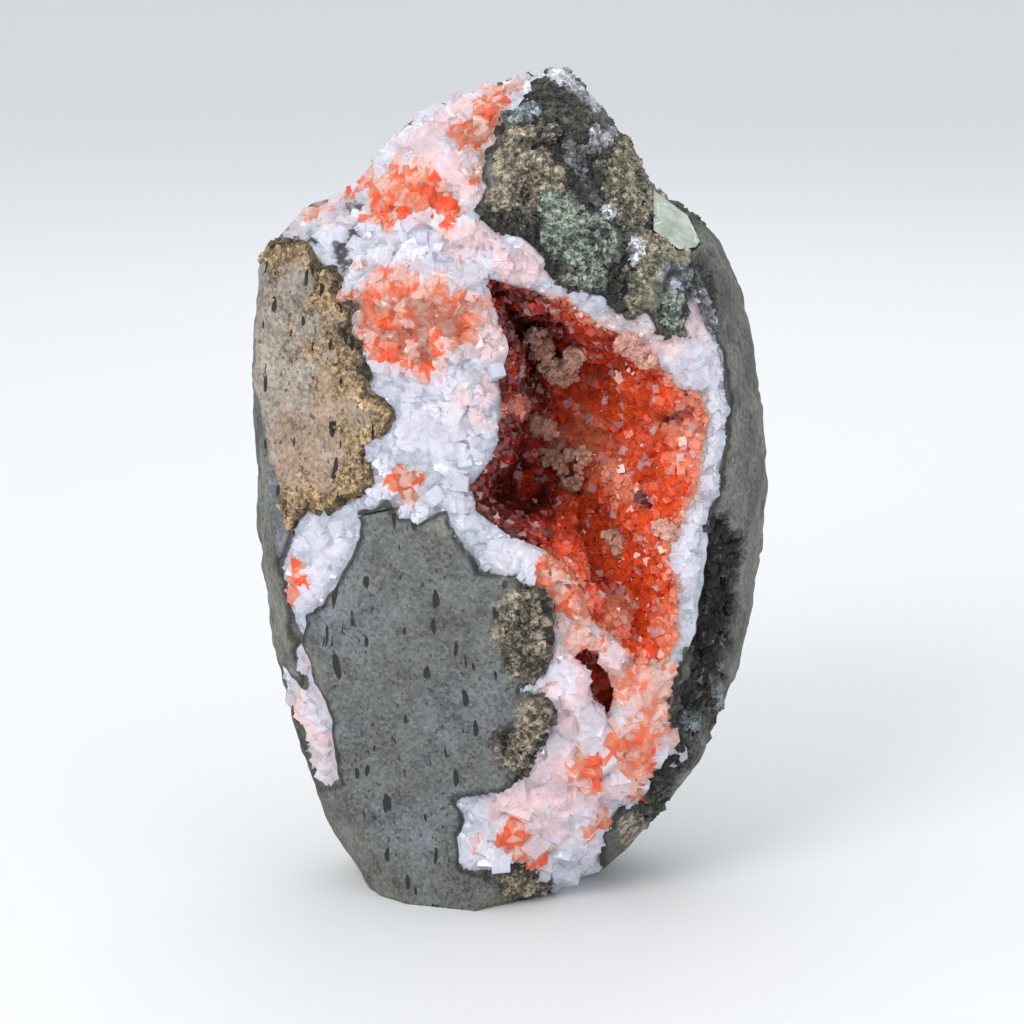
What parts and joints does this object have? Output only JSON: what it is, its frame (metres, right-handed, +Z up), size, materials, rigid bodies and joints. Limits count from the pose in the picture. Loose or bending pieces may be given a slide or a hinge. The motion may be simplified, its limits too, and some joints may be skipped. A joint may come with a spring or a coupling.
{
  "type": "chabazite geode specimen",
  "caption": "Free-standing basalt nodule with a white zeolite layer round an open hollow lined with orange-red chabazite crystals.",
  "frame": {"origin": "middle of the stone's bounding box in plan, on the sawn base it stands on", "axes": "+Z up along the longest extent, -Y towards the front with the hollow, +X to the right seen from the front"},
  "size_m": [0.1214, 0.101, 0.1944],
  "materials": {
    "basalt": "ground matte on the flat faces, rough where broken",
    "white_zeolite": "satin, crystalline",
    "chabazite": "glossy small crystals",
    "green_crystal": "glassy"
  },
  "bodies": {
    "root": {"basalt_matrix": "basalt", "white_zeolite_band": "white_zeolite", "chabazite_druse": "chabazite", "pale_green_crystal": "green_crystal"}
  },
  "joints": []
}
